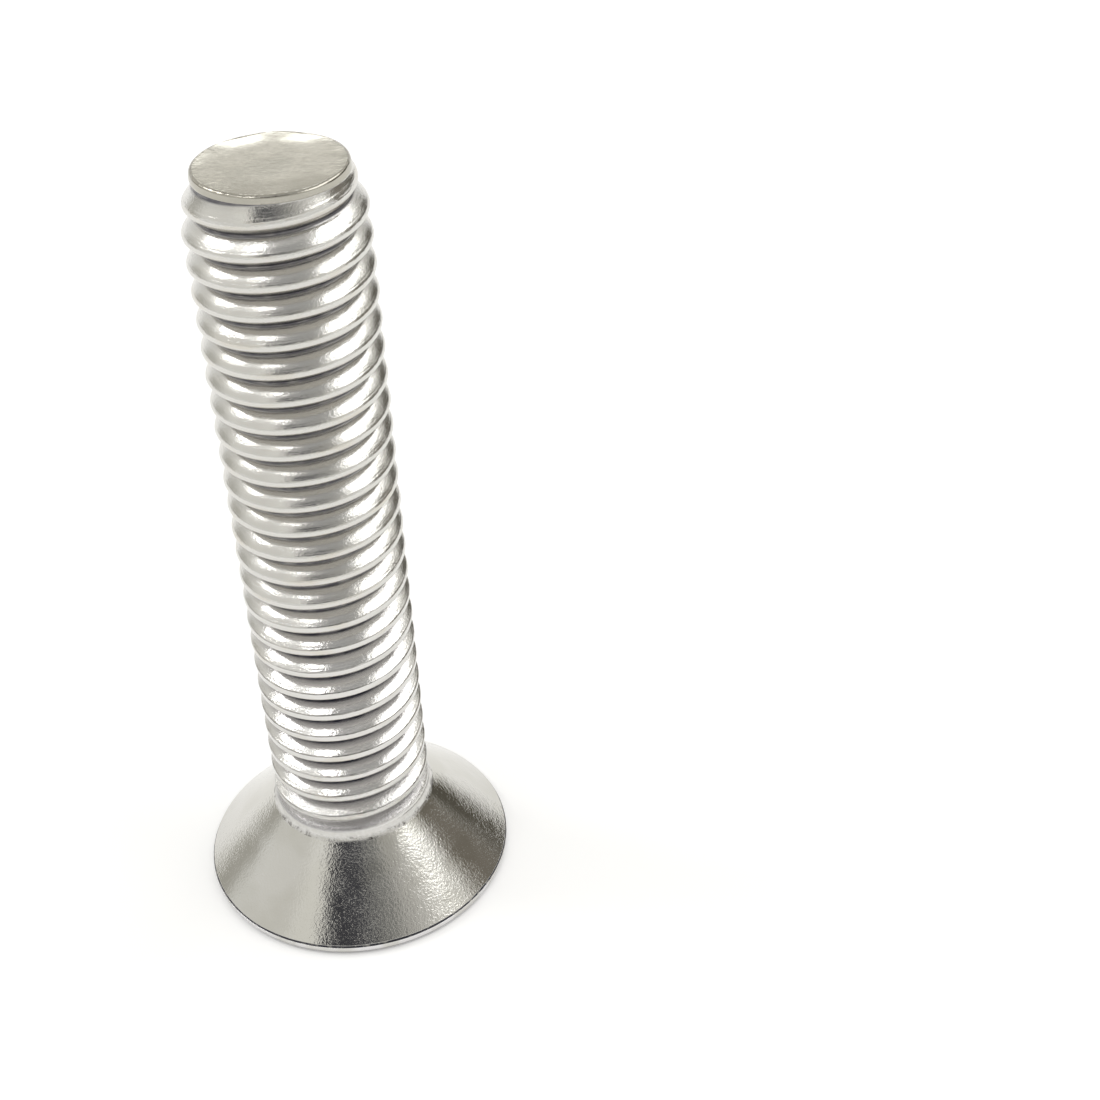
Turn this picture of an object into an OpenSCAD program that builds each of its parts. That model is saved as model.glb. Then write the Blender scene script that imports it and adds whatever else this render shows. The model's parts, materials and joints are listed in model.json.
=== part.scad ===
// Countersunk screw with a hexagon socket, threaded along its whole shank.
// It stands on the flat face of its head: that face is at z = 0, and +Z runs
// up the axis to the tip. One turned and rolled piece of stainless steel.

/* [Overall] */
// Length of the whole screw, from the head's flat face to the tip
overall_len = 29; // [12:0.2:60]

/* [Head] */
// Diameter of the head at its rim
head_d = 11.65; // [10.5:0.05:13.5]
// Height of the rim below the cone, with its rounded edge
rim_h = 0.38; // [0.3:0.01:0.6]
// Radius of the rounded edge between the rim and the flat face
face_edge_r = 0.2; // [0.05:0.01:0.25]
// Angle of the countersunk cone, measured right across it
cone_angle = 90; // [80:1:100]
// Radius of the hollow fillet where the cone runs into the shank
neck_fillet_r = 0.5; // [0.2:0.05:0.8]

/* [Socket] */
// Width across the flats of the hexagon
socket_af = 4; // [3:0.1:4.5]
// Depth of the socket's straight walls
socket_depth = 2.3; // [1.5:0.1:2.6]
// Angle of the shallow cone at the bottom, measured right across it
socket_floor_angle = 136; // [118:2:160]
// How far the punch's corners are rounded off, inwards from the sharp corner
socket_corner_cut = 0.07; // [0.02:0.01:0.2]
// Width of the bevel that runs round the socket's mouth
mouth_bevel = 0.14; // [0.05:0.01:0.3]

/* [Thread] */
// Diameter over the crests
thread_d = 5.9; // [5:0.05:6.5]
// Distance from one turn to the next
pitch = 1; // [0.75:0.05:1.25]
// Angle between the two flanks of a groove
flank_angle = 60; // [55:1:60]
// Width of the flat on the crest
crest_flat = 0.14; // [0.06:0.01:0.2]
// Width of the hollow at the bottom of the groove
root_hollow = 0.24; // [0.1:0.01:0.3]
// Length over which the first groove deepens out of the plain neck
run_in = 0.5; // [0.2:0.05:1]
// Height of the first crest above the neck, on the side that faces +X
first_crest = 0.02; // [0:0.01:1]

/* [Tip] */
// Diameter of the flat end
tip_d = 4.3; // [3.6:0.05:5.2]
// Angle between the tip's bevel and the axis
tip_bevel_angle = 20; // [15:1:60]
// Radius of the rounded edge between the bevel and the flat end
tip_edge_r = 0.4; // [0.05:0.05:0.5]

/* [Smoothness] */
// Facets in one turn of the thread
turn_facets = 36; // [24:2:40]

/* [Hidden] */

eps = 0.01;
steel = [0.72, 0.71, 0.69];
round_facets = 96;
arc_steps = 5;

head_r = head_d / 2;
crest_r = thread_d / 2;
// the plain neck stands this much proud of the rolled crests
neck_proud = 0.015;
neck_r = crest_r + neck_proud;

// head: where the cone would meet the neck, and how its fillet lies on both
half_cone = cone_angle / 2;
cone_top_z = rim_h + (head_r - neck_r) / tan(half_cone);
fillet_rise = neck_fillet_r * tan(half_cone / 2);
neck_top_z = cone_top_z + fillet_rise;

// socket: the hexagon's corners, and the depth of its conical floor
socket_corner_r = socket_af / 2 / cos(30);
punch_r = socket_corner_r - socket_corner_cut;
floor_cone_h = punch_r / tan(socket_floor_angle / 2);

// thread: the groove's depth follows from its flanks and its two flats
flank_run = (pitch - crest_flat - root_hollow) / 2;
flank_depth = flank_run / tan(flank_angle / 2);
hollow_sag = root_hollow / 2 * tan(flank_angle / 4);

// One pitch of the thread's profile, as [height, depth below the crest].
// Height 0 is the middle of a crest.
profile = [
    [-crest_flat / 2, 0],
    [crest_flat / 2, 0],
    [crest_flat / 2 + flank_run, flank_depth],
    [pitch / 2, flank_depth + hollow_sag],
    [pitch - crest_flat / 2 - flank_run, flank_depth],
];
rows = len(profile);

// The helix starts inside the head and is cut to length at the tip.
helix_bottom_z = neck_top_z - pitch / 2;
helix_top_z = overall_len + pitch / 4;
min_row_gap = pitch / 40;

function turn_z(column) = neck_top_z + (first_crest - 2) * pitch + pitch * column / turn_facets;
function row_z(column, row) =
    turn_z(column) + pitch * floor(row / rows) + profile[row % rows][0];
function first_row(column) =
    ceil_row(column, helix_bottom_z + min_row_gap, 0);
function ceil_row(column, z, row) = row_z(column, row) > z ? row : ceil_row(column, z, row + 1);
function last_row(column) =
    ceil_row(column, helix_top_z - min_row_gap, floor((helix_top_z - turn_z(column)) / pitch - 1) * rows) - 1;

// The groove deepens smoothly from nothing to its full depth above the neck.
function ramp(t) = let (c = max(0, min(1, t))) c * c * (3 - 2 * c);
function groove(z) = ramp((z - neck_top_z) / run_in);
function row_r(column, row) =
    crest_r - groove(row_z(column, row)) * profile[row % rows][1];

function on_ring(r, column, z) =
    let (a = 360 * column / turn_facets) [r * cos(a), r * sin(a), z];

// Each column of points climbs from the lower ring to the upper ring.
function column_points(c) = concat(
    [on_ring(crest_r, c, helix_bottom_z)],
    [for (k = [first_row(c):last_row(c)]) on_ring(row_r(c, k), c, row_z(c, k))],
    [on_ring(crest_r, c, helix_top_z)]
);

columns = [for (c = [0:turn_facets - 1]) column_points(c)];
firsts = [for (c = [0:turn_facets - 1]) first_row(c)];
sizes = [for (c = columns) len(c)];
starts = [for (c = 0, s = 0; c < turn_facets; s = s + sizes[c], c = c + 1) s];
row_count = max(sizes) + rows + 2;

// Point number of a row in a column. Past either end it is the ring's point.
// The column after the last is the first one, a whole turn further up.
function point_at(c, k) =
    c == turn_facets
        ? point_at(0, k + rows)
        : starts[c] + max(0, min(sizes[c] - 1, k - firsts[c] + 1));

function triangle(a, b, c) = a == b || b == c || a == c ? [] : [[a, b, c]];
function facets_between(c, k) = let (
    a = point_at(c, k),
    b = point_at(c + 1, k),
    d = point_at(c, k + 1),
    e = point_at(c + 1, k + 1)
) concat(triangle(a, e, b), triangle(a, d, e));

thread_facets = [
    for (c = [0:turn_facets - 1])
        for (k = [-rows - 1:row_count + rows])
            each facets_between(c, k)
];
lower_ring = [for (c = [0:turn_facets - 1]) starts[c]];
upper_ring = [for (c = [turn_facets - 1:-1:0]) starts[c] + sizes[c] - 1];

module rolled_thread() {
    polyhedron(
        points = [for (c = columns) each c],
        faces = concat(thread_facets, [lower_ring, upper_ring])
    );
}

// What the thread is cut to at the tip: a bevel, its rounded edge and the flat end.
// The bevel's line is carried outwards past the crests.
module tip_envelope() {
    edge_c = [tip_d / 2, overall_len - tip_edge_r];
    bevel_top = edge_c + tip_edge_r * [cos(tip_bevel_angle), sin(tip_bevel_angle)];
    reach = crest_r + pitch - bevel_top[0];
    rotate_extrude($fn = round_facets)
        polygon(concat(
            [
                [0, helix_bottom_z - pitch],
                [bevel_top[0] + reach, helix_bottom_z - pitch],
                [bevel_top[0] + reach, bevel_top[1] - reach / tan(tip_bevel_angle)],
            ],
            [for (i = [0:arc_steps])
                let (a = tip_bevel_angle + (90 - tip_bevel_angle) * i / arc_steps)
                    edge_c + tip_edge_r * [cos(a), sin(a)]],
            [[0, overall_len]]
        ));
}

module head_and_neck() {
    edge_c = [head_r - face_edge_r, face_edge_r];
    fillet_c = [neck_r + neck_fillet_r, neck_top_z];
    rotate_extrude($fn = round_facets)
        polygon(concat(
            [[0, 0]],
            [for (i = [0:arc_steps])
                let (a = -90 + 90 * i / arc_steps) edge_c + face_edge_r * [cos(a), sin(a)]],
            [[head_r, rim_h]],
            [for (i = [0:arc_steps])
                let (a = 180 + half_cone * (1 - i / arc_steps))
                    fillet_c + neck_fillet_r * [cos(a), sin(a)]],
            [[0, neck_top_z]]
        ));
}

// The punched hexagon: straight walls, a shallow conical floor, rounded corners
// and a bevel round its mouth.
module socket() {
    intersection() {
        translate([0, 0, -eps])
            cylinder(h = socket_depth + floor_cone_h + 2 * eps, r = socket_corner_r, $fn = 6);
        rotate_extrude($fn = round_facets)
            polygon([
                [0, -eps],
                [punch_r, -eps],
                [punch_r, socket_depth],
                [0, socket_depth + floor_cone_h],
            ]);
    }
    translate([0, 0, -eps])
        cylinder(
            h = mouth_bevel + eps,
            r1 = socket_corner_r + (mouth_bevel + eps) / cos(30),
            r2 = socket_corner_r,
            $fn = 6
        );
}

module screw() {
    color(steel)
        difference() {
            union() {
                head_and_neck();
                intersection() {
                    rolled_thread();
                    tip_envelope();
                }
            }
            socket();
        }
}

screw();
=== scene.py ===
# %% [markdown]
# A countersunk screw, built as one smooth skin around a fixed CAD frame.
# The frame says how big everything is. This lesson gives the screw its looks: a rolled thread, a satin
# cone, a sheared tip, a punched socket and the studio that the steel mirrors.

# %% Load the frame
import json
import math

import bmesh
import bpy
import numpy as np
from mathutils import Matrix, Quaternion, Vector


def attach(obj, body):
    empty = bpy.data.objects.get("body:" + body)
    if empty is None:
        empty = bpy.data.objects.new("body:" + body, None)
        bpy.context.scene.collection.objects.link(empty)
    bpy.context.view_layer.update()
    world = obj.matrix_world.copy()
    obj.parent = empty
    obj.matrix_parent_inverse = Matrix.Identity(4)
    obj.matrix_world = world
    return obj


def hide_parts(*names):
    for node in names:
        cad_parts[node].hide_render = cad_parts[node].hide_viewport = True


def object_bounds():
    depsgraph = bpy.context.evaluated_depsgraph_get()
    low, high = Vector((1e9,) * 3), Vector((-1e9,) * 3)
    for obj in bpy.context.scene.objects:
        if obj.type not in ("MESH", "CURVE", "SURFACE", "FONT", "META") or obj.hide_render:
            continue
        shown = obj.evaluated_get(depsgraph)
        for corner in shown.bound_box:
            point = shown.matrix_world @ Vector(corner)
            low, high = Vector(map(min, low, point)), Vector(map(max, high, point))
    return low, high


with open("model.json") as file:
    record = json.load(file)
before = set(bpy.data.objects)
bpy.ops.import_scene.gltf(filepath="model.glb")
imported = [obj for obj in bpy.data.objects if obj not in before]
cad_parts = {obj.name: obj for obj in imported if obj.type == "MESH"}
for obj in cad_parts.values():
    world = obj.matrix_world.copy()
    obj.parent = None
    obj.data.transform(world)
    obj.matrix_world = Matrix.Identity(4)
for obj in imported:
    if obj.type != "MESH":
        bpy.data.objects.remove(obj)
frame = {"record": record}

cad_low, cad_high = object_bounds()
print("frame box in mm", [round(1000 * v, 3) for v in (*cad_low, *cad_high)])

# %% [markdown]
# Sizes come first. The frame's record holds the interfaces of the screw: the thread's radius, the seat
# and the socket. Reading them here, in place of typing them again, keeps skin and CAD the same size. The
# few sizes that the record doesn't hold are typed below them. Shapes are worked out in millimetres,
# because that is how a screw is dimensioned.

# %% Sizes in millimetres
MM = 0.001
mounts = {m["name"]: m for m in frame["record"]["mounts"]}
length = cad_high.z / MM
head_r = mounts["countersink_seat"]["dims"]["r_mm"]
rim_h = mounts["countersink_seat"]["pos_m"][2] / MM
crest_r = mounts["thread"]["dims"]["r_mm"]
half_flats = mounts["hex_socket"]["dims"]["r_mm"]
wall_depth = mounts["hex_socket"]["dims"]["length_mm"]

pitch = 1.0
crest_above_neck = 0.02
face_edge_r = 0.2
neck_fillet_r = 0.5
cone_slope = math.radians(45)
tip_r = 2.15
tip_edge_r = 0.4
tip_bevel = math.radians(20)
cone_top = rim_h + (head_r - crest_r) / math.tan(cone_slope)
neck_top = cone_top + neck_fillet_r * math.tan(cone_slope / 2)
print(f"screw {length:.2f} long, head {2 * head_r:.2f} across, thread {2 * crest_r:.2f} over crests")

# %% [markdown]
# The skin is a stack of rings, from the middle of the socket's floor, out over the face, up the cone and
# the thread, to the middle of the tip. A ring is a row of points around the axis, and its radius and
# height may change with the angle, which is how a round head can hold a six-sided hole.

# %% The angles of one ring
columns = 120
angles = np.linspace(0, 2 * np.pi, columns, endpoint=False)


def ring(radius, height):
    """One ring as a radius and a height at every column. Plain numbers are the same all the way round."""
    return np.stack(np.broadcast_arrays(radius, height, angles)[:2], axis=1).astype(float)


def smooth_min(a, b, k):
    """The smaller of two values, with the corner between them rounded over a width of about k."""
    h = np.clip(0.5 + 0.5 * (b - a) / k, 0, 1)
    return b * (1 - h) + a * h - k * h * (1 - h)


def smooth_step(t):
    """Climbs from 0 to 1 as t does, level at both ends: three t squared less two t cubed."""
    t = np.clip(t, 0, 1)
    return t * t * (3 - 2 * t)


print("columns", columns, "one every", 360 / columns, "degrees")

# %% [markdown]
# Nothing that dies and punches make is quite even. A wobble is a sum of a few sine waves that fit whole
# numbers of times into a turn, so it never shows a seam. Its phases come from a seeded generator, so
# the screw is the same each time it is built.

# %% A wobble without a seam
seed = 6
random = np.random.default_rng(seed)


def wobble(angle, waves, size):
    """Uneven height around the axis: one sine for each number of waves to the turn, each a little
    smaller than the last, with a random start, and about `size` high in all."""
    total = np.zeros_like(angle)
    for n, count in enumerate(waves):
        total += np.sin(count * angle + random.uniform(0, 2 * np.pi)) / (1 + 0.4 * n)
    return size * total / math.sqrt(len(waves))


print("wobbles come from seed", seed)

# %% [markdown]
# The socket is punched cold: straight walls, a shallow cone left by the punch's point, and a narrow
# bevel where the metal was dragged down at the mouth. Each ring is the hexagon's outline at one depth.
# The punch has rounded corners, which show best where the walls meet the floor.

# %% Rings of the socket
def hexagon(half_width, corner, soft):
    """Radius of a hexagon at each angle: its half width over the cosine of the angle from the nearest
    flat's middle, limited to the radius at its corners and rounded there."""
    from_flat = (angles % (np.pi / 3)) - np.pi / 6
    return smooth_min(half_width / np.cos(from_flat), np.full(columns, corner), soft)


corner_cut, mouth_bevel, foot_edge = 0.07, 0.14, 0.05
walls_end, bevel_start = mouth_bevel + 0.04, mouth_bevel + 0.02
foot_reach = 0.6
punch_r = half_flats / math.cos(math.pi / 6) - corner_cut
floor_slope = math.radians(68)


def floor_height(radius):
    """Height of the conical floor: it starts at the foot of the walls and deepens towards the axis."""
    return wall_depth + (punch_r - radius) / math.tan(floor_slope)


wall = hexagon(half_flats, punch_r, soft=0.03)
foot = hexagon(half_flats - 0.01, punch_r - 0.05, soft=0.12)
bevel_width = mouth_bevel * (0.8 + wobble(angles, (5, 9, 14, 23), 0.1))
mouth = hexagon(half_flats, punch_r + 0.06, soft=0.02) + bevel_width

head_rings = [ring(foot * t, floor_height(foot * t)) for t in np.linspace(0, 1, 12)[:-1]]
floor_rows = len(head_rings)
for a in np.linspace(0, np.pi / 2, 5):
    inset, drop = foot_edge * (1 - np.sin(a)), foot_edge * (1 - np.cos(a))
    head_rings.append(ring(foot - inset, floor_height(foot) - drop))
for t in np.linspace(0, 1, 9)[1:]:
    outline = foot + (wall - foot) * smooth_step(t / foot_reach)
    head_rings.append(ring(outline, (floor_height(foot) - foot_edge) * (1 - t) + walls_end * t))
wall_rows = len(head_rings)
for t in np.linspace(0, 1, 6)[1:]:
    a = t * np.pi / 2
    head_rings.append(ring(wall + (mouth - wall) * (1 - np.cos(a)), bevel_start * (1 - np.sin(a))))
print("rows of the socket", len(head_rings), "mouth", round(mouth.min(), 3), "to", round(mouth.max(), 3))

# %% [markdown]
# The head was upset in a die and faced: a flat face that runs to a rounded edge, a narrow rim, then the
# 45 degree cone, and a hollow fillet into the neck. Where the cone meets the rim, the die left a fine
# groove, which shows as a thin line.

# %% Rings of the face and the rim
face_r = head_r - face_edge_r
face_stops = (0.02, 0.06, 0.14, 0.28, 0.44, 0.6, 0.76, 0.9, 0.97, 1.0)
for t in face_stops:
    head_rings.append(ring(mouth * (1 - t) + face_r * t, 0.0))
face_rows = len(head_rings) - 1
for a in np.linspace(0, np.pi / 2, 8)[1:]:
    head_rings.append(ring(face_r + face_edge_r * np.sin(a), face_edge_r * (1 - np.cos(a))))
land_drop, land_edge, groove_in = 0.045, 0.008, 0.036
land_top = rim_h - land_drop + wobble(angles, (3, 7, 11, 19, 31), 0.008)
head_rings.append(ring(head_r, 0.5 * (face_edge_r + land_top)))
head_rings.append(ring(head_r, land_top))
rim_rows = len(head_rings)
groove_depth = groove_in + wobble(angles, (4, 9, 17, 29), 0.006)
head_rings.append(ring(head_r - land_edge, land_top + land_edge))
head_rings.append(ring(head_r - groove_depth, land_top + land_edge))
groove_rows = len(head_rings)
print("rows up to the groove", groove_rows, "groove", round(float(groove_depth.mean()), 3), "deep")

# %% [markdown]
# The cone is straight from the groove to the fillet. Its rings stand closer at both ends, so that the
# shading of the smooth skin bends there and nowhere else.

# %% Rings of the cone and its fillet
fillet_r = crest_r + neck_fillet_r * (1 - math.cos(cone_slope))
fillet_z = neck_top - neck_fillet_r * math.sin(cone_slope)
cone_inset = groove_depth + 0.004
cone_foot_r = head_r - cone_inset
cone_foot_z = rim_h + cone_inset
cone_stops = (0.0, 0.004, 0.02, 0.05, 0.12, 0.22, 0.34, 0.46, 0.58, 0.7, 0.82, 0.92, 1.0)
for t in cone_stops:
    head_rings.append(ring(cone_foot_r * (1 - t) + fillet_r * t, cone_foot_z * (1 - t) + fillet_z * t))
cone_rows = len(head_rings)
for a in np.linspace(cone_slope, 0, 9)[1:]:
    outwards = neck_fillet_r * (1 - math.cos(a))
    head_rings.append(ring(crest_r + outwards, neck_top - neck_fillet_r * math.sin(a)))
head_rings = np.array(head_rings)
print("rows of the head", len(head_rings))

# %% [markdown]
# A rolled thread is metal that two dies pressed up from the root, so its flanks bulge a little. Near the
# head the crest is a narrow land with a crisp upper edge, and a hairline seam, where the metal lapped
# over, runs along that edge. Near the tip, which wears most, the ridges are round, with a gentle upper
# side. One profile is carried up the helix, as one long strip: its last column joins the first one a
# turn further up.

# %% The thread's profile
upper_half, lower_half, seam_u = 0.11, 0.14, 0.098
across = pitch * np.array(
    [-0.50, -0.43, -0.37, -0.315, -0.265, -0.22, -0.19, -0.165, -0.14, -0.11, -0.06, 0.0, 0.05, 0.078,
     0.09, 0.098, 0.106, 0.116, 0.13, 0.15, 0.18, 0.22, 0.265, 0.315, 0.37, 0.42, 0.46]
)
steps = len(across)
round_upper, round_lower = 0.04, 0.08
groove_floor, round_floor = 0.588, 0.52
seam_width, seam_depth = 0.009, 0.012


def soft_ramp(d, k):
    """Zero for negative d and d itself above it, with the bend rounded over about k: half of d plus the
    root of d squared plus k squared, less a tenth of k."""
    return 0.5 * (d + np.sqrt(d**2 + k**2)) - 0.1 * k


def flank(d, slope, bulge, bend):
    """Depth at a distance d down from the top of a flank: slope times d plus bulge times d squared,
    with the bend at its top rounded."""
    return soft_ramp(d * (slope + bulge * d), bend)


def thread_depth(u, seam, worn):
    """Depth below the crest at u from its middle. Each flank's slope steepens inwards, so it bulges, and
    the root is a hollow. A worn ridge bends over sooner, slopes less above and has a narrow root. The
    seam is a narrow dip."""
    crisp_above = flank(u - upper_half, slope=1.15, bulge=1.70, bend=0.02)
    crisp_below = flank(-u - lower_half, slope=1.50, bulge=0.80, bend=0.06)
    crisp = smooth_min(np.where(u > 0, crisp_above, crisp_below), np.full_like(u, groove_floor), k=0.22)
    round_above = flank(u - round_upper, slope=0.58, bulge=1.05, bend=0.05)
    round_below = flank(-u - round_lower, slope=1.30, bulge=1.00, bend=0.09)
    rounded = smooth_min(np.where(u > 0, round_above, round_below), np.full_like(u, round_floor), k=0.10)
    depth = crisp * (1 - worn) + rounded * worn
    return np.maximum(depth, 0) + seam * np.exp(-(((u - seam_u) / seam_width) ** 2))


print("rows of one turn", steps, "root", groove_floor, "deep near the head and", round_floor, "near the tip")

# %% [markdown]
# Near the neck the groove grows out of the plain shank. At the tip the blank had been chamfered before it
# was rolled: there is less metal there, so the crests come down while the root stays where it is, and
# the last ridges are low.

# %% The helix
bevel_top_r = tip_r + tip_edge_r * math.cos(tip_bevel)
bevel_top_z = length - tip_edge_r * (1 - math.sin(tip_bevel))
root_r = crest_r - groove_floor
run_in, crest_blend = 0.5, 0.2
worn_from, worn_to = 8.0, 18.0
end_gap = 0.01


def shank_radius(u, z, depth):
    """Radius of the thread: the crest's line, brought down by the bevel, less the groove's depth, which
    fades in above the neck and shrinks with the height that is left above the root."""
    bevel_line = bevel_top_r + (bevel_top_z - z) * math.tan(tip_bevel)
    crest_line = smooth_min(np.full_like(z, crest_r), bevel_line, crest_blend)
    left = np.clip((crest_line - root_r) / (crest_r - root_r), 0, 1)
    return crest_line - smooth_step((z - neck_top) / run_in) * left * depth


turns_below = 2
turns = math.ceil((length - neck_top) / pitch) + turns_below + 1
row = np.arange(turns * steps)
first_crest = neck_top + crest_above_neck * pitch - turns_below * pitch
row_u = across[row % steps]
row_z = first_crest + pitch * (row // steps) + row_u
climb = angles / (2 * np.pi) * pitch
z = row_z[:, None] + climb[None, :]
travel = 2 * np.pi * (row // steps)[:, None] + angles[None, :]
print("turns", turns, "rows of the thread", len(row), "climb of one turn", pitch)

# %% [markdown]
# The dies don't roll quite evenly. The profile drifts up and down a little along the helix, the seam
# comes and goes, and the crest is slightly ragged. Each is a slow wave of the angle travelled, so it
# runs on from one turn to the next.

# %% The unevenness along the helix
def drawn_wave(size, rate, start=0.0):
    """Size times the sine of the rate times the angle travelled, from a given start."""
    return size * np.sin(rate * travel + start)


crest_spread = 0.12
worn = smooth_step((z - worn_from) / (worn_to - worn_from))
drift = drawn_wave(0.006, 0.37) + drawn_wave(0.004, 1.71, 2.0)
u = row_u[:, None] + drift
seam = seam_depth * smooth_step(0.6 + drawn_wave(0.9, 0.23, 1.0)) * (1 - worn)
lip = drawn_wave(0.006, 2.3) * drawn_wave(1.0, 0.61) + drawn_wave(0.003, 7.1)
ragged_crest = np.abs(lip) * np.exp(-((u / crest_spread) ** 2))
r = shank_radius(u, z, thread_depth(u, seam, worn) + ragged_crest)
print("seam up to", round(float(seam.max()), 3), "crest ragged by", round(float(ragged_crest.max()), 3))

# %% [markdown]
# Both ends of the helix are cut level. Rows below the neck are laid onto the neck's ring, and rows above
# the bevel's top onto the tip's. That ring follows the last ridge round, so its radius is worked out from
# the depth that the groove has there.

# %% Cut the helix to length
tip_u = (bevel_top_z - climb - first_crest) % pitch
tip_depth = np.minimum(thread_depth(tip_u, 0.0, 1.0), thread_depth(tip_u - pitch, 0.0, 1.0))
tip_ring_r = shank_radius(tip_u, np.full(columns, bevel_top_z), tip_depth)
low = z < neck_top + end_gap
high = z > bevel_top_z - end_gap
r = np.where(low, crest_r, np.where(high, tip_ring_r[None, :], r))
z = np.where(low, neck_top, np.where(high, bevel_top_z, z))
helix = np.stack([r, z], axis=2)
print("groove", round(float(crest_r - r.min()), 3), "deep, tip ring", tip_ring_r.min().round(3), "and up")

# %% [markdown]
# The end of the blank was sheared and chamfered, and rolling pressed its corner out again: a flat disc
# on a short, almost upright side, with a tight and slightly uneven edge between them. Where the disc
# sags towards its edge, it mirrors the light behind it as a glint.

# %% Rings of the tip
edge_wobble = wobble(angles, (2, 3, 5, 8, 13), 0.02)
sagged = ((118, 17, 0.065), (70, 14, 0.065), (160, 18, 0.02), (262, 16, 0.02), (305, 18, 0.02))
sag_reach, sag_curve = 0.31, 1.15
sag = 0.004 + wobble(angles, (4, 7, 11, 17), 0.003)
for middle, spread, depth in sagged:
    from_middle = (np.degrees(angles) - middle + 180) % 360 - 180
    sag += depth * np.exp(-((from_middle / spread) ** 2))
tight_r, lean = 0.12, math.radians(7)
up_side = length - tight_r * (1 - math.sin(lean)) - bevel_top_z
halfway_r = tip_ring_r - up_side / 2 * math.tan(lean)
tip_rings = [ring(tip_ring_r, bevel_top_z), ring(halfway_r, bevel_top_z + up_side / 2)]
for a in np.linspace(lean, np.pi / 2, 8):
    t = (a - lean) / (np.pi / 2 - lean)
    inset = up_side * math.tan(lean) + tight_r * (math.cos(lean) - math.cos(a))
    inset = inset + edge_wobble * smooth_step(t)
    tip_rings.append(ring(tip_ring_r - inset, length - tight_r * (1 - math.sin(a)) - sag * smooth_step(t)))
flat_r = tip_rings[-1][:, 0]
disc_stops = (0.03, 0.07, 0.11, 0.15, 0.19, 0.23, 0.27, 0.31, 0.45, 0.7, 1.0)
for t in disc_stops:
    sag_left = np.clip((sag_reach - t) / sag_reach, 0, 1) ** sag_curve
    tip_rings.append(ring(flat_r * (1 - t), length - sag * sag_left))
tip_rings = np.array(tip_rings)
print("rows of the tip", len(tip_rings), "edge sags", round(float(sag.max()), 3))

# %% [markdown]
# Now the grids become one mesh. Where the helix is cut level, at the neck and at the tip, its points
# fall onto the next ring and are merged, and so are the points at both poles. Corners keep two numbers
# for the finishes: how far around (in turns, counted up the helix) and how far across the profile.

# %% From rings to faces
def to_points(polar):
    """Radius and height at each column, turned about the axis, in metres."""
    x = polar[..., 0] * np.cos(angles)
    y = polar[..., 0] * np.sin(angles)
    return MM * np.stack([x, y, polar[..., 1]], axis=-1).reshape(-1, 3)


def grid_faces(rows, shift):
    """Quads between neighbouring rows and columns. The last column joins the first, shift rows up.
    Gives the quads, and the row and column that each one starts at."""
    i, j = np.meshgrid(np.arange(rows - 1), np.arange(columns), indexing="ij")
    far = i + (j == columns - 1) * shift
    right = (j + 1) % columns
    quads = np.stack(
        [i * columns + j, far * columns + right, (far + 1) * columns + right, (i + 1) * columns + j], axis=-1
    )
    kept = far + 1 < rows
    return quads[kept], i[kept], j[kept]


def corner_numbers(i, j, turn, low_v, high_v):
    """The two numbers at the four corners of each quad: turns around, and millimetres across."""
    left, right = turn + j / columns, turn + (j + 1) / columns
    around = np.stack([left, right, right, left], -1)
    return np.stack([around, np.stack([low_v, low_v, high_v, high_v], -1)], -1)


def along_profile(rings):
    """How far along the profile each ring lies, measured down the first column."""
    step = np.linalg.norm(np.diff(rings[:, 0, :], axis=0), axis=1)
    return np.concatenate([[0], np.cumsum(step)])


# %% [markdown]
# Head, thread and tip are three grids that share the same columns. Every quad is told which finish it
# has, by the row that it starts at, and which way its patterns run.

# %% Lay the three grids together
finish_names = ["socket_floor", "socket_wall", "face", "rim", "rim_groove", "cone", "neck", "thread", "tip"]
head_quads, i, j = grid_faces(len(head_rings), 0)
along = along_profile(head_rings)
head_uv = corner_numbers(i, j, 0, along[i], along[i + 1])
last_rows = [floor_rows, wall_rows, face_rows, rim_rows, groove_rows, cone_rows - 1]
head_finish = np.searchsorted(last_rows, i, "right")

helix_quads, i, j = grid_faces(len(helix), steps)
upper = np.where(i % steps == steps - 1, across[0] + pitch, across[(i + 1) % steps])
helix_uv = corner_numbers(i, j, i // steps, across[i % steps], upper)
helix_finish = np.full(len(i), finish_names.index("thread"))

tip_quads, i, j = grid_faces(len(tip_rings), 0)
along = along_profile(tip_rings)
tip_uv = corner_numbers(i, j, 0, along[i], along[i + 1])
tip_finish = np.full(len(i), finish_names.index("tip"))

points = [to_points(rings) for rings in (head_rings, helix, tip_rings)]
quads = np.concatenate(
    [head_quads, helix_quads + len(points[0]), tip_quads + len(points[0]) + len(points[1])]
)
finish = np.concatenate([head_finish, helix_finish, tip_finish]).astype(np.int32)
turns_map = np.concatenate([head_uv, helix_uv, tip_uv]).astype(np.float32)
points = np.concatenate(points)
print("points", len(points), "quads", len(quads))

# %% [markdown]
# The grids meet point on point, so merging what lies in one place closes the skin. A closed skin has
# exactly two faces at every edge and a positive volume, which the last line of the cell reports.

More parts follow.
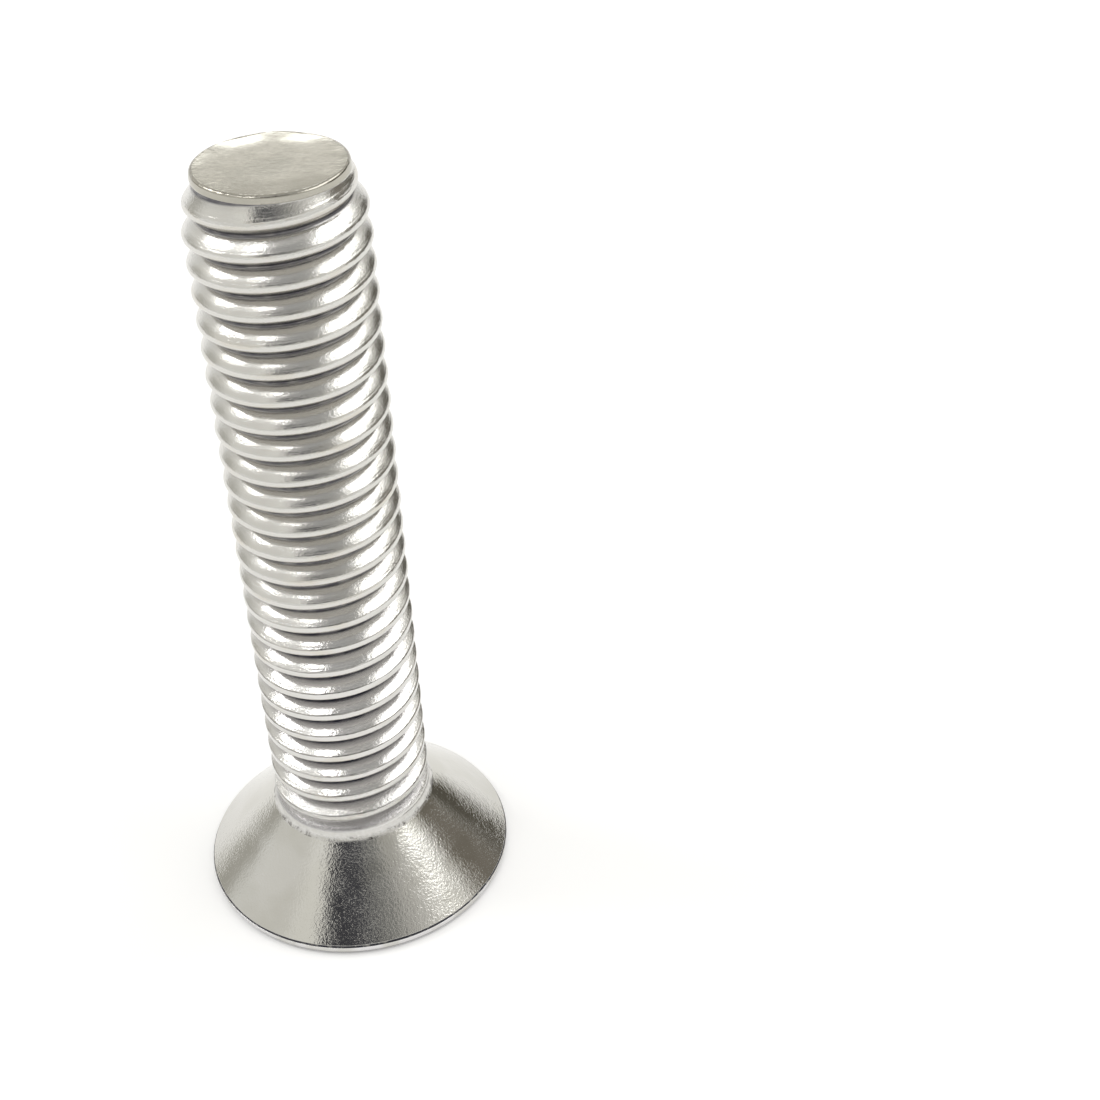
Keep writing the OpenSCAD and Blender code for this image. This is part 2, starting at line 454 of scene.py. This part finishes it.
# %% Build and close the skin
merge_within, shortest_edge = 2e-7, 1e-8
mesh = bpy.data.meshes.new("screw_skin")
mesh.from_pydata(points.tolist(), [], quads.tolist())
mesh.uv_layers.new(name="Turns").data.foreach_set("uv", turns_map.ravel())
mesh.polygons.foreach_set("material_index", finish)
shell = bmesh.new()
shell.from_mesh(mesh)
bmesh.ops.remove_doubles(shell, verts=shell.verts, dist=merge_within)
bmesh.ops.dissolve_degenerate(shell, dist=shortest_edge, edges=shell.edges)
open_edges = sum(1 for e in shell.edges if len(e.link_faces) != 2)
volume = shell.calc_volume(signed=True)
shell.to_mesh(mesh)
shell.free()
mesh.polygons.foreach_set("use_smooth", np.ones(len(mesh.polygons), bool))
screw = bpy.data.objects.new("screw_skin", mesh)
bpy.context.scene.collection.objects.link(screw)
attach(screw, "root")
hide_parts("screw")
triangles = sum(len(p.vertices) - 2 for p in mesh.polygons)
print(f"skin: {triangles} triangles, {open_edges} open edges, {volume / MM**3:.1f} mm3")

# %% [markdown]
# Each finish is a node material. The first helper adds one node: what the dictionary names are its
# inputs, set to a number or linked to another node's output, and the other words are the node's own
# settings. The rest are short names for the nodes that come back often.

# %% Helpers for nodes
def add(tree, kind, inputs=None, **settings):
    """Adds a shader node, sets its properties, and sets or links its inputs."""
    node = tree.nodes.new("ShaderNode" + kind)
    for name, value in settings.items():
        setattr(node, name, value)
    for key, value in (inputs or {}).items():
        if isinstance(value, bpy.types.NodeSocket):
            tree.links.new(value, node.inputs[key])
        else:
            node.inputs[key].default_value = value
    return node


def math_of(tree, operation, a, b=0.0):
    """One step of arithmetic on one or two values."""
    return add(tree, "Math", {0: a, 1: b}, operation=operation).outputs[0]


def times(tree, a, b):
    """The product of two values."""
    return math_of(tree, "MULTIPLY", a, b)


def plus(tree, a, b):
    """The sum of two values."""
    return math_of(tree, "ADD", a, b)


def minus(tree, a, b):
    """The first value less the second."""
    return math_of(tree, "SUBTRACT", a, b)


def ranged(tree, value, low, high, to_low=0.0, to_high=1.0):
    """Takes a value from one range to another, eased and held at both ends."""
    inputs = {"Value": value, "From Min": low, "From Max": high, "To Min": to_low, "To Max": to_high}
    return add(tree, "MapRange", inputs, interpolation_type="SMOOTHSTEP").outputs["Result"]


def mixed(tree, factor, a, b):
    """Blends two colours, each given as three numbers or as another node's output."""
    a, b = [c if isinstance(c, bpy.types.NodeSocket) else (*c, 1) for c in (a, b)]
    return add(tree, "Mix", {0: factor, 6: a, 7: b}, data_type="RGBA").outputs[2]


def noise(tree, place, scale, detail=2.0, roughness=0.5):
    """Cloudy values about one half, with `scale` waves to the millimetre."""
    inputs = {"Vector": place, "Scale": scale, "Detail": detail, "Roughness": roughness}
    return add(tree, "TexNoise", inputs).outputs["Fac"]


def bumped(tree, height, micrometres, below=None):
    """Raises the surface by a height from 0 to 1, on top of another bump."""
    inputs = {"Height": height, "Distance": micrometres * 1e-6, "Strength": 1.0}
    if below is not None:
        inputs["Normal"] = below
    return add(tree, "Bump", inputs).outputs["Normal"]


# %% [markdown]
# Patterns need a place to read. Object coordinates are in metres, so they are scaled to millimetres.
# Around the axis a pattern would show a seam at the first column if it read an angle. It reads the
# direction from the axis in its place, which closes on itself. Up the thread it reads the turns map.

# %% Places that patterns read
def start_steel(name):
    """A new metal material. Gives its node tree and its shader node."""
    material = bpy.data.materials.new(name)
    material.use_nodes = True
    shader = material.node_tree.nodes["Principled BSDF"]
    shader.inputs["Metallic"].default_value = 1.0
    mesh.materials.append(material)
    return material.node_tree, shader


def place_mm(tree):
    """Object coordinates in millimetres."""
    place = add(tree, "TexCoord").outputs["Object"]
    return add(tree, "VectorMath", {0: place, "Scale": 1 / MM}, operation="SCALE").outputs[0]


def scaled(tree, place, factors):
    """A place with each of its three numbers multiplied by a factor. A factor below 1 draws out what is
    read there in that direction."""
    return add(tree, "VectorMath", {0: place, 1: factors}, operation="MULTIPLY").outputs[0]


def part_of(tree, place, axis):
    """One of the three numbers of a place."""
    return add(tree, "SeparateXYZ", {0: place}).outputs[axis]


def around_axis(tree, place, radius, stretch):
    """The direction from the axis, drawn out to a circle of one radius, and the height times stretch.
    Noise read here runs in streaks along the slope, and its width around is even."""
    unit = add(tree, "VectorMath", {0: scaled(tree, place, (1, 1, 0))}, operation="NORMALIZE").outputs[0]
    ring_place = add(tree, "VectorMath", {0: unit, "Scale": radius}, operation="SCALE").outputs[0]
    rise = scaled(tree, place, (0, 0, stretch))
    return add(tree, "VectorMath", {0: ring_place, 1: rise}, operation="ADD").outputs[0]


def finish_steel(tree, shader, colour, roughness, normal):
    """Links a finish to its shader, and says how many nodes it took."""
    for name, value in (("Base Color", colour), ("Roughness", roughness), ("Normal", normal)):
        tree.links.new(value, shader.inputs[name])
    print("finish", mesh.materials[-1].name, "has", len(tree.nodes), "nodes")


# %% [markdown]
# The socket's floor still carries the punch's turned rings, and its walls are dragged along the way
# that the punch went in. Both are darker and duller than the outside.

# %% Finish of the socket
turned_rate = 52.0
dull, floor_light = (0.30, 0.29, 0.27), (0.42, 0.41, 0.39)
wall_dark, wall_light = (0.24, 0.23, 0.19), (0.46, 0.44, 0.39)

tree, shader = start_steel("socket_floor")
place = place_mm(tree)
flat_place = scaled(tree, place, (1, 1, 0))
from_axis = add(tree, "VectorMath", {0: flat_place}, operation="LENGTH").outputs["Value"]
waver = times(tree, noise(tree, place, 1.5), 0.25)
turned = math_of(tree, "SINE", times(tree, plus(tree, from_axis, waver), turned_rate))
cloud = noise(tree, place, 2.0, 4.0)
floor_colour = mixed(tree, ranged(tree, cloud, 0.35, 0.65), dull, floor_light)
normal = bumped(tree, turned, 1.1, bumped(tree, noise(tree, place, 14.0), 3.0))
finish_steel(tree, shader, floor_colour, ranged(tree, cloud, 0.3, 0.7, 0.24, 0.38), normal)

tree, shader = start_steel("socket_wall")
place = place_mm(tree)
drag = noise(tree, scaled(tree, place, (1, 1, 0.06)), 11.0, 3.0)
cloud = noise(tree, place, 1.8, 4.0)
wall_colour = mixed(tree, ranged(tree, drag, 0.3, 0.7), wall_dark, wall_light)
normal = bumped(tree, drag, 9.0, bumped(tree, noise(tree, place, 9.0, 3.0), 3.5))
finish_steel(tree, shader, wall_colour, ranged(tree, cloud, 0.3, 0.7, 0.28, 0.42), normal)

# %% [markdown]
# The face is a satin surface that was pressed and tumbled. It has no grain in one direction, only small
# pits and nicks, which crowd together in places, and a few long scratches.

# %% Pits and scratches
def pits(tree, place, scale, spread, least, most):
    """Sparse spots: the nearness to scattered points, kept only where a broad cloud is high."""
    cells = add(tree, "TexVoronoi", {"Vector": place, "Scale": scale, "Randomness": 1.0})
    near = ranged(tree, cells.outputs["Distance"], least, most, 1.0, 0.0)
    crowd = ranged(tree, noise(tree, place, spread, 1.0), 0.45, 0.62)
    return times(tree, near, crowd)


def scratches(tree, place, turn, scale, least, most):
    """Long thin marks in one direction: noise drawn out along it, kept only near its middle value."""
    inputs = {"Vector": place, "Rotation": (0, 0, turn), "Scale": (0.05, 1.0, 1.0)}
    drawn = add(tree, "Mapping", inputs).outputs[0]
    value = noise(tree, drawn, scale, 0.0)
    line = math_of(tree, "ABSOLUTE", minus(tree, value, 0.5))
    here = ranged(tree, noise(tree, place, 0.35, 1.0), least, most)
    return times(tree, ranged(tree, line, 0.004, 0.014, 1.0, 0.0), here)


# %% [markdown]
# Pits and scratches are one mask. Where it is high, the surface sinks and turns a little duller, over a
# cloudy satin grey.

# %% Finish of the face
face_dark, face_light = (0.52, 0.51, 0.50), (0.60, 0.59, 0.58)
tree, shader = start_steel("face")
place = place_mm(tree)
cloud = noise(tree, place, 0.8, 5.0, 0.6)
small_pits = pits(tree, place, scale=6.0, spread=0.7, least=0.06, most=0.16)
long_place = add(tree, "Mapping", {"Vector": place, "Scale": (1.0, 2.6, 1.0)}).outputs[0]
nicks = pits(tree, long_place, scale=2.2, spread=0.5, least=0.05, most=0.12)
some_lines = scratches(tree, place, turn=0.4, scale=2.4, least=0.5, most=0.6)
more_lines = scratches(tree, place, turn=2.0, scale=2.0, least=0.52, most=0.62)
lines = math_of(tree, "MAXIMUM", some_lines, more_lines)
marks = math_of(tree, "MAXIMUM", small_pits, nicks)
marks = math_of(tree, "MAXIMUM", marks, times(tree, lines, 0.4))
face_colour = mixed(tree, ranged(tree, cloud, 0.3, 0.7), face_dark, face_light)
face_colour = mixed(tree, times(tree, marks, 0.4), face_colour, dull)
normal = bumped(tree, noise(tree, place, 7.0, 4.0, 0.6), 4.0)
normal = bumped(tree, minus(tree, 1.0, marks), 9.0, normal)
finish_steel(tree, shader, face_colour, ranged(tree, cloud, 0.3, 0.7, 0.3, 0.42), normal)

# %% [markdown]
# The rim was sheared in the die, so it carries short marks that cross it, side by side all round. Its
# lowest part, where it turns under to the face, is painted dark: a painted contact shadow. The fine
# groove above it is painted almost black: painted shade, which draws the thin line between rim and cone.

# %% Finish of the rim and its groove
rim_light, rim_warm, painted_contact_shadow = (0.72, 0.71, 0.71), (0.62, 0.61, 0.58), (0.26, 0.25, 0.25)
rim_groove_painted_shade = (0.05, 0.05, 0.06)

tree, shader = start_steel("rim")
place = place_mm(tree)
sheared = noise(tree, around_axis(tree, place, head_r, 0.25), 7.0, 4.0, 0.65)
band = noise(tree, around_axis(tree, place, head_r, 0.05), 0.9, 2.0)
rim_colour = mixed(tree, ranged(tree, band, 0.4, 0.6), rim_light, rim_warm)
# Painted contact shadow: the rim's lowest part, where it turns under to the face, is painted dark.
contact_shadow_mask = plus(tree, part_of(tree, place, "Z"), times(tree, sheared, 0.06))
contact_shadow_mask = ranged(tree, contact_shadow_mask, 0.13, 0.20, 1.0, 0.0)
rim_colour = mixed(tree, times(tree, contact_shadow_mask, 0.8), rim_colour, painted_contact_shadow)
normal = bumped(tree, sheared, 7.0, bumped(tree, noise(tree, place, 15.0), 2.0))
finish_steel(tree, shader, rim_colour, ranged(tree, sheared, 0.3, 0.7, 0.14, 0.26), normal)

tree, shader = start_steel("rim_groove")
place = place_mm(tree)
broken = noise(tree, place, 3.0, 4.0, 0.7)
# Painted shade: the groove is painted almost black, with a few duller patches.
groove_colour = mixed(tree, ranged(tree, broken, 0.5, 0.66), rim_groove_painted_shade, dull)
normal = bumped(tree, broken, 8.0)
finish_steel(tree, shader, groove_colour, ranged(tree, broken, 0.3, 0.7, 0.3, 0.45), normal)

# %% [markdown]
# The cone is satin: a fine sandy grain that sparkles wherever the reflection behind it changes, over broad
# and very faint hollows left by the die. Streaks up the slope are there too, but can hardly be seen.
# All of them are bumps, since they are a few micrometres deep.

# %% Finish of the cone
cone_dark, cone_light = (0.58, 0.57, 0.53), (0.64, 0.63, 0.60)
mid_cone_r = 4.4

tree, shader = start_steel("cone")
place = place_mm(tree)
streaks = noise(tree, around_axis(tree, place, mid_cone_r, 0.12), 2.4, 3.0, 0.6)
sand = noise(tree, place, 10.0, 2.0, 0.7)
hollows = noise(tree, place, 0.9, 2.0)
patch = noise(tree, place, 0.5, 2.0)
cone_colour = mixed(tree, ranged(tree, patch, 0.35, 0.65), cone_dark, cone_light)
sandy = times(tree, sand, ranged(tree, patch, 0.35, 0.6, 0.6, 1.0))
normal = bumped(tree, hollows, 14.0, bumped(tree, streaks, 2.5, bumped(tree, sandy, 11.5)))
finish_steel(tree, shader, cone_colour, ranged(tree, patch, 0.3, 0.7, 0.06, 0.11), normal)

# %% [markdown]
# The neck is as bright as the thread, but it was turned and never touched the rolling dies. Where it
# runs into the cone, its lower edge is ragged and darker.

# %% Finish of the neck
neck_dark, neck_light, corner_tone = (0.60, 0.59, 0.56), (0.66, 0.65, 0.63), (0.22, 0.21, 0.20)
dark_reach = 0.28

tree, shader = start_steel("neck")
place = place_mm(tree)
turned = noise(tree, scaled(tree, place, (0.15, 0.15, 1)), 12.0, 3.0)
speckle = noise(tree, place, 8.0, 3.0, 0.65)
neck_colour = mixed(tree, ranged(tree, speckle, 0.35, 0.65), neck_dark, neck_light)
low_edge = ranged(tree, part_of(tree, place, "Z"), fillet_z, fillet_z + dark_reach, 1.0, 0.0)
torn_edge = ranged(tree, noise(tree, place, 1.8, 5.0, 0.75), 0.46, 0.60)
torn_edge = times(tree, low_edge, torn_edge)
neck_colour = mixed(tree, torn_edge, neck_colour, corner_tone)
normal = bumped(tree, torn_edge, 8.0, bumped(tree, turned, 2.5, bumped(tree, speckle, 6.0)))
finish_steel(tree, shader, neck_colour, ranged(tree, speckle, 0.3, 0.7, 0.17, 0.27), normal)

# %% [markdown]
# The thread is the brightest part, burnished by the dies. Its patterns follow the helix, so they read
# the turns map: how far along the helix, and how far across the profile. From those come the distance
# from the nearest crest's middle, and how worn the ridge is at that height.

# %% Places on the thread
tree, shader = start_steel("thread")
place = place_mm(tree)
turns_uv = add(tree, "UVMap", uv_map="Turns").outputs["UV"]
mm_along = times(tree, part_of(tree, turns_uv, "X"), 2 * math.pi * crest_r)
mm_across = part_of(tree, turns_uv, "Y")
past_root = minus(tree, math_of(tree, "ABSOLUTE", mm_across), pitch / 2)
from_crest = minus(tree, pitch / 2, math_of(tree, "ABSOLUTE", past_root))
up_shank = part_of(tree, place, "Z")
worn_here = ranged(tree, up_shank, worn_from, worn_to)


def drawn_along(tree, stretch):
    """A place whose first number runs along the helix, slowed by stretch, and whose second runs across."""
    slow = times(tree, mm_along, stretch)
    return add(tree, "CombineXYZ", {0: slow, 1: mm_across}).outputs[0]


print("one turn is", round(2 * math.pi * crest_r, 1), "mm along the crest")

# %% [markdown]
# The root is painted dark: painted shade deep in the groove, patchy along the helix, and rougher there.
# Where the ridges are worn it is narrower, but reaches a little under the ridge. The first turns above
# the neck have none.

# %% Painted shade in the root
inwards = minus(tree, from_crest, times(tree, worn_here, 0.10))
underside = ranged(tree, mm_across, -0.26, 0.0, 1.0, 0.0)
tucked = times(tree, times(tree, underside, worn_here), 0.14)
uneven_cloud = noise(tree, drawn_along(tree, 0.5), 2.2, 3.0)
# Painted shade: the deepest part of the groove is painted nearly black.
root_shade_mask = ranged(tree, plus(tree, inwards, tucked), 0.35, 0.41)
root_shade_mask = times(tree, root_shade_mask, ranged(tree, uneven_cloud, 0.3, 0.6, 0.6, 1.0))
root_shade_mask = times(tree, root_shade_mask, ranged(tree, up_shank, neck_top + 0.5, neck_top + 1.6))
root_shade_mask = times(tree, root_shade_mask, ranged(tree, worn_here, 0.0, 1.0, 1.0, 0.85))
print("nodes so far", len(tree.nodes))

# %% [markdown]
# The highlights have ragged ends, because fine marks run along the helix and the lips are a little torn.
# The first turns above the neck, where the dies ran out, are still raw and pitted.

# %% Marks of the dies
rolled = noise(tree, drawn_along(tree, 0.07), 16.0, 3.0)
swell = noise(tree, drawn_along(tree, 0.5), 1.1, 1.0)
grain = noise(tree, place, 10.0, 3.0, 0.65)
torn = noise(tree, drawn_along(tree, 0.35), 7.0, 3.0, 0.7)
raw = ranged(tree, up_shank, neck_top + 0.3, neck_top + 1.8, 1.0, 0.0)
pitted = times(tree, raw, ranged(tree, noise(tree, place, 5.0, 4.0, 0.75), 0.36, 0.64))
print("nodes so far", len(tree.nodes))

# %% [markdown]
# Beside the crest's upper edge, over the seam's shallow dip in the shape, a thin patchy line is painted
# dark, with a slight waver of its own: a painted dark reflection. It fades where the ridges are worn.

# %% The seam's painted dark line
seam_at = seam_u + 0.01
waver = times(tree, minus(tree, torn, 0.5), 0.05)
from_seam = math_of(tree, "ABSOLUTE", minus(tree, plus(tree, mm_across, waver), seam_at))
# Painted reflection: a thin dark line is painted along the crest's upper edge.
seam_reflection_mask = ranged(tree, from_seam, 0.007, 0.02, 1.0, 0.0)
seam_reflection_mask = times(tree, seam_reflection_mask, ranged(tree, uneven_cloud, 0.35, 0.55, 0.35, 0.9))
seam_reflection_mask = times(tree, seam_reflection_mask, ranged(tree, worn_here, 0.0, 0.8, 1.0, 0.0))
at_lip = ranged(tree, from_seam, 0.02, 0.08, 1.0, 0.2)
print("seam", seam_at, "mm above the crest's middle")

# %% [markdown]
# Now the colours are laid over each other: burnished steel, a warm tint off the crests, painted shade in
# the grooves and under the worn ridges, then the seam's painted dark line and the root's painted shade.
# Under them the bumps are stacked in turn.

# %% Finish of the thread
new_thread, worn_thread, warm = (0.70, 0.69, 0.67), (0.66, 0.65, 0.62), (0.62, 0.58, 0.50)
painted_groove_shade, painted_underside_shade = (0.42, 0.41, 0.41), (0.46, 0.44, 0.40)
painted_seam_reflection, painted_root_shade = (0.13, 0.12, 0.11), (0.05, 0.05, 0.07)

tint = ranged(tree, noise(tree, drawn_along(tree, 0.2), 2.6, 3.0), 0.5, 0.68)
tint = times(tree, tint, ranged(tree, from_crest, 0.05, 0.16, 0.9, 0.25))
# Painted shade: the grooves and the undersides of the ridges are painted darker.
groove_shade_mask = times(tree, ranged(tree, inwards, 0.18, 0.38), ranged(tree, worn_here, 0.0, 1.0, 1.0, 0.3))
underside_shade_mask = times(tree, underside, ranged(tree, worn_here, 0.0, 1.0, 0.15, 0.9))
thread_colour = mixed(tree, worn_here, new_thread, worn_thread)
thread_colour = mixed(tree, times(tree, tint, 0.6), thread_colour, warm)
layers = ((groove_shade_mask, painted_groove_shade), (underside_shade_mask, painted_underside_shade), (seam_reflection_mask, painted_seam_reflection), (root_shade_mask, painted_root_shade))
for amount, tone in layers:
    thread_colour = mixed(tree, amount, thread_colour, tone)

normal = bumped(tree, swell, 26.0, bumped(tree, rolled, 3.2, bumped(tree, grain, 8.0)))
normal = bumped(tree, times(tree, torn, at_lip), 12.0, normal)
normal = bumped(tree, pitted, 8.0, normal)
thread_roughness = ranged(tree, worn_here, 0.0, 1.0, 0.11, 0.19)
thread_roughness = plus(tree, thread_roughness, times(tree, root_shade_mask, 0.26))
finish_steel(tree, shader, thread_colour, thread_roughness, normal)

# %% [markdown]
# The tip's disc is satin too, and a little warmer in tone than the rest. It isn't quite flat: a broad
# and very shallow swell moves its reflection about. Along its sheared edge a thin broken ring is painted
# darker: a painted dark reflection.

# %% Finish of the tip
tip_dark, tip_light, painted_edge_reflection = (0.41, 0.395, 0.345), (0.46, 0.44, 0.385), (0.26, 0.24, 0.21)
edge_at = up_side / math.cos(lean) + tight_r * (math.pi / 2 - lean)

tree, shader = start_steel("tip")
place = place_mm(tree)
cloud = noise(tree, place, 0.6, 3.0)
grain = noise(tree, place, 7.0, 4.0, 0.6)
tip_colour = mixed(tree, ranged(tree, cloud, 0.35, 0.65), tip_dark, tip_light)
shear_cloud = noise(tree, place, 4.0, 3.0, 0.65)
tip_uv = add(tree, "UVMap", uv_map="Turns").outputs["UV"]
over_edge = plus(tree, part_of(tree, tip_uv, "Y"), times(tree, shear_cloud, 0.14))
from_edge = math_of(tree, "ABSOLUTE", minus(tree, over_edge, edge_at + 0.03))
# Painted reflection: a thin broken ring along the disc's edge is painted darker.
sheared = ranged(tree, from_edge, 0.02, 0.07, 1.0, 0.0)
sheared = times(tree, sheared, ranged(tree, shear_cloud, 0.4, 0.6, 0.1, 0.55))
tip_colour = mixed(tree, sheared, tip_colour, painted_edge_reflection)
rough_edge = ranged(tree, over_edge, edge_at + 0.2, edge_at + 0.7, 1.0, 0.0)
normal = bumped(tree, grain, 2.0, bumped(tree, cloud, 14.0))
normal = bumped(tree, times(tree, shear_cloud, rough_edge), 6.0, normal)
normal = bumped(tree, times(tree, shear_cloud, sheared), 12.0, normal)
finish_steel(tree, shader, tip_colour, ranged(tree, grain, 0.3, 0.7, 0.15, 0.22), normal)
print("same order as the faces:", [m.name for m in mesh.materials] == finish_names)

# %% [markdown]
# The camera stands where the photographer's did, a few centimetres in front and above. Its place and
# lens were worked out once, from the pitch of the thread and the outline of the head.

# %% Camera
camera_data = bpy.data.cameras.new("camera")
camera = bpy.data.objects.new("camera", camera_data)
bpy.context.scene.collection.objects.link(camera)
look_down, roll = 0.636, -0.039
frame_side, focal_pixels = 1100, 1727.95
camera_data.sensor_width = 36
camera_data.lens = camera_data.sensor_width * focal_pixels / frame_side
camera_data.clip_start = 0.001
level_right = Vector((1, 0, 0))
level_down = Vector((0, -math.sin(look_down), -math.cos(look_down)))
forward = Vector((0, math.cos(look_down), -math.sin(look_down)))
view_right = level_right * math.cos(roll) - level_down * math.sin(roll)
view_down = level_right * math.sin(roll) + level_down * math.cos(roll)
camera_place = Vector((7.9987, -48.9504, 50.2407)) * MM
turned_view = Matrix((view_right, -view_down, -forward)).transposed().to_4x4()
camera.matrix_world = Matrix.Translation(camera_place) @ turned_view
bpy.context.scene.camera = camera
print("lens", round(camera_data.lens, 1), "mm, looking down", round(math.degrees(look_down), 1), "degrees")

# %% [markdown]
# The floor is a sheet of white card. A lit card of this colour renders pale grey, so the camera and the
# mirroring steel see it with a little glow of its own added. Round the screw the glow is even and the lit
# part isn't, so the soft shadow stays. Far off, where the lamps no longer reach, the glow makes up for it.

# %% Floor
floor_half, floor_tone = 2.0, 0.9
near_edge, far_edge, near_glow, far_glow = 0.1, 0.6, 0.17, 0.5
floor_mesh = bpy.data.meshes.new("floor")
corners = [(x * floor_half, y * floor_half, 0) for x, y in ((-1, -1), (1, -1), (1, 1), (-1, 1))]
floor_mesh.from_pydata(corners, [], [(0, 1, 2, 3)])
floor = bpy.data.objects.new("floor", floor_mesh)
bpy.context.scene.collection.objects.link(floor)


def seen_directly(tree):
    """1 for rays from the camera and for rays that a shiny surface mirrors or lets through, else 0."""
    path = add(tree, "LightPath")
    seen = math_of(tree, "MAXIMUM", path.outputs["Is Camera Ray"], path.outputs["Is Glossy Ray"])
    return math_of(tree, "MAXIMUM", seen, path.outputs["Is Transmission Ray"])


floor_card = bpy.data.materials.new("floor_card")
floor_card.use_nodes = True
tree = floor_card.node_tree
tree.nodes.clear()
card = add(tree, "BsdfDiffuse", {"Color": (floor_tone, floor_tone, floor_tone, 1)})
floor_place = add(tree, "TexCoord").outputs["Object"]
far_off = add(tree, "VectorMath", {0: floor_place}, operation="LENGTH").outputs["Value"]
glow_here = ranged(tree, far_off, near_edge, far_edge, near_glow, far_glow)
glow_strength = times(tree, seen_directly(tree), glow_here)
glow = add(tree, "Emission", {"Color": (1, 1, 1, 1), "Strength": glow_strength})
card_and_glow = add(tree, "AddShader", {0: card.outputs[0], 1: glow.outputs[0]})
add(tree, "OutputMaterial", {"Surface": card_and_glow.outputs[0]})
floor_mesh.materials.append(floor_card)
print("floor", 2 * floor_half, "m square, glow", near_glow, "near the screw and", far_glow, "far off")

# %% [markdown]
# Polished steel has hardly a colour of its own: it shows the room. So the room is drawn with care. A
# pale sky is white at the horizon and grey overhead, with a few soft-edged cards in it: the dark shapes
# of the camera and of a hand, a grey card beside them, dark ones low on the right, and a white window.
# Each card has a direction, the angles at which it starts and ends to fade out, and a tone.

# %% Directions, tones and cards
def towards(azimuth, elevation):
    """Unit direction of a compass angle and a height above the horizon, in degrees. Azimuth 0 is +X,
    and -90 is the camera's side."""
    a, e = math.radians(azimuth), math.radians(elevation)
    return Vector((math.cos(e) * math.cos(a), math.cos(e) * math.sin(a), math.sin(e)))


sky_steps = (
    (0, (0.96, 0.96, 0.96)),
    (8, (0.90, 0.90, 0.88)),
    (25, (0.84, 0.83, 0.79)),
    (50, (0.77, 0.76, 0.73)),
    (72, (0.72, 0.71, 0.69)),
    (90, (0.70, 0.70, 0.69)),
)
cards = (
    ("grey card", -62, 44, 12, 24, (0.54, 0.53, 0.50)),
    ("left arm", -118, 62, 4, 11, (0.50, 0.49, 0.48)),
    ("right arm", -52, 61, 6, 14, (0.42, 0.42, 0.41)),
    ("brow", -88, 62, 5, 13, (0.42, 0.42, 0.42)),
    ("white card", -134, 38, 5, 12, (0.98, 0.97, 0.93)),
    ("hand", -70, 41, 8, 11, (0.25, 0.25, 0.24)),
    ("camera", -91, 41, 8, 12, (0.08, 0.08, 0.09)),
    ("camera hood", -108, 41, 8, 12, (0.06, 0.06, 0.07)),
    ("dark card", 44, 0, 18, 24, (0.13, 0.12, 0.10)),
    ("brown card", 12, 16, 14, 17, (0.22, 0.20, 0.17)),
    ("left glow", 190, 55, 3, 10, (1.3, 1.3, 1.28)),
    ("dim card", 155, 4, 10, 20, (0.54, 0.53, 0.49)),
    ("window", 99, 13, 6, 7, (3.2, 3.2, 3.1)),
)
for name, azimuth, elevation, inner, outer, _ in cards:
    print(name, "at", azimuth, elevation, "fades out over", outer - inner, "degrees")

# %% [markdown]
# The sky is a climb from tone to tone by height. A card is a soft-edged disc: the dot product of the
# ray's direction and the card's gives the cosine of the angle between them, and the card covers what lies
# within that angle. The camera itself sees plain white.

# %% The room that the steel mirrors
white = (1.0, 1.0, 1.0)
room = bpy.data.worlds.new("studio")
bpy.context.scene.world = room
room.use_nodes = True
tree = room.node_tree
tree.nodes.clear()
direction = add(tree, "TexCoord").outputs["Generated"]
height = part_of(tree, direction, "Z")
colour = sky_steps[0][1]
for (low_e, _), (high_e, tone) in zip(sky_steps[:-1], sky_steps[1:]):
    step = ranged(tree, height, math.sin(math.radians(low_e)), math.sin(math.radians(high_e)))
    colour = mixed(tree, step, colour, tone)
for _, azimuth, elevation, inner, outer, tone in cards:
    aim = towards(azimuth, elevation)
    nearness = add(tree, "VectorMath", {0: direction, 1: aim}, operation="DOT_PRODUCT").outputs["Value"]
    edge = ranged(tree, nearness, math.cos(math.radians(outer)), math.cos(math.radians(inner)))
    colour = mixed(tree, edge, colour, tone)
is_camera = add(tree, "LightPath").outputs["Is Camera Ray"]
colour = mixed(tree, is_camera, colour, white)
background = add(tree, "Background", {"Color": colour, "Strength": 1.0})
add(tree, "OutputWorld", {"Surface": background.outputs[0]})
print("room has", len(tree.nodes), "nodes")

# %% [markdown]
# Three softboxes make the highlights. A box is placed by the direction that the photograph's highlights
# mirror, and sized by the angle that it fills. Its power follows from its area and its glow, which says
# how many times brighter than white it looks. The wide one on the right is soft and lights the cone and
# the floor. The two small ones are several times white, and burn out in polished steel.

# %% Softboxes
lamp_distance = 0.4


def softbox(name, azimuth, elevation, wide, high, turn, glow):
    """A flat lamp that faces the screw, fills so many degrees each way and is turned about its own
    axis. Power is pi times area times glow."""
    data = bpy.data.lights.new(name, "AREA")
    data.shape = "RECTANGLE"
    data.size = 2 * lamp_distance * math.tan(math.radians(wide / 2))
    data.size_y = 2 * lamp_distance * math.tan(math.radians(high / 2))
    data.energy = math.pi * data.size * data.size_y * glow
    lamp = bpy.data.objects.new(name, data)
    bpy.context.scene.collection.objects.link(lamp)
    aim = towards(azimuth, elevation)
    lamp.location = aim * lamp_distance + Vector((0, 0, length * MM / 2))
    facing = aim.to_track_quat("Z", "Y") @ Quaternion((0, 0, 1), math.radians(turn))
    lamp.rotation_euler = facing.to_euler()
    lamp.visible_camera = False
    print(name, round(data.energy, 3), "W")


softbox("right_box", azimuth=12, elevation=50.5, wide=56, high=28, turn=0, glow=1.9)
softbox("left_box", azimuth=167, elevation=44, wide=20, high=10, turn=45, glow=8.0)
softbox("small_box", azimuth=-141, elevation=63, wide=14, high=7, turn=30, glow=6.0)

# %% [markdown]
# Colours are shown as they are, with no film curve.

# %% Colours as they are
bpy.context.scene.view_settings.view_transform = "Standard"
